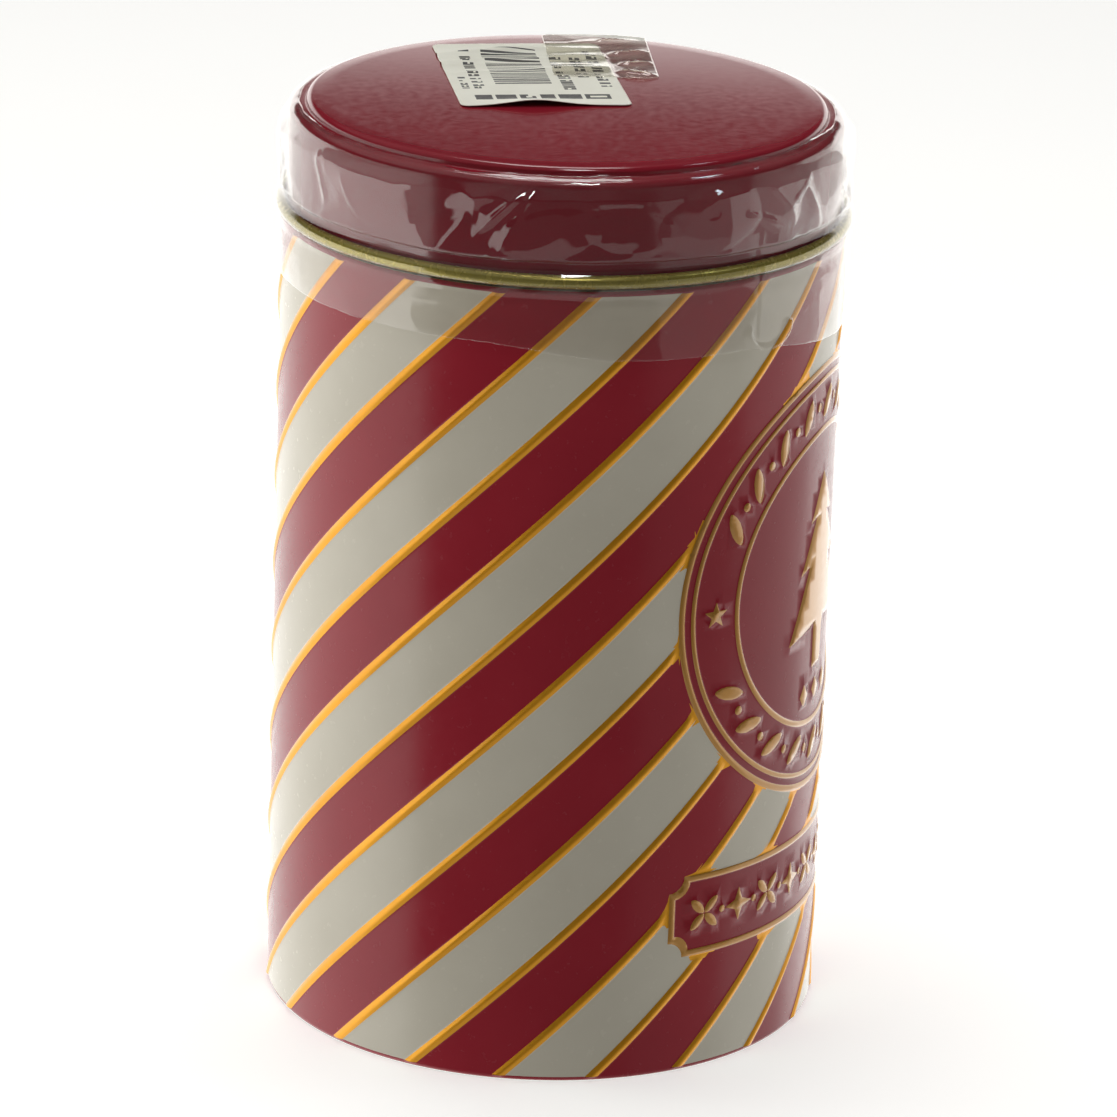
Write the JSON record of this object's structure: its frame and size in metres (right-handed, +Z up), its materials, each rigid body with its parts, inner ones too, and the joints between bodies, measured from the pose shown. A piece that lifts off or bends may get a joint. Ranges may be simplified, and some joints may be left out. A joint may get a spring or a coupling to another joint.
{
  "type": "cookie tin",
  "caption": "Tall round slip-lid tin with diagonal stripes, an embossed round badge and a banner, sealed with clear tape round the lid and carrying a price label on top.",
  "frame": {"origin": "centre of the foot ring, on the surface the tin stands on", "axes": "+Z up along the tin's axis, badge and banner facing -Y, side lock seam at +Y"},
  "size_m": [0.0768, 0.0768, 0.1257],
  "materials": {
    "body_wall": "satin lacquer, crimson and warm white stripes between gold beads",
    "base_disc": "gold-lacquered tinplate",
    "lid_shell": "glossy crimson outside, gold lacquer inside and on the curl",
    "clear_tape": "clear, glossy, creased",
    "paper_label": "matt paper with grey printed bars",
    "clear_film": "clear, glossy, wrinkled"
  },
  "bodies": {
    "tin": {"body_wall": "body_wall", "base_disc": "base_disc", "seal_tape_lower": "clear_tape"},
    "lid": {"lid_shell": "lid_shell", "seal_tape_upper": "clear_tape", "price_label": "paper_label", "label_film": "clear_film"}
  },
  "joints": [
    {"name": "lid_lift", "type": "slide", "parent": "tin", "child": "lid", "axis": [0, 0, 1], "range_m": [0, 0.08]}
  ]
}
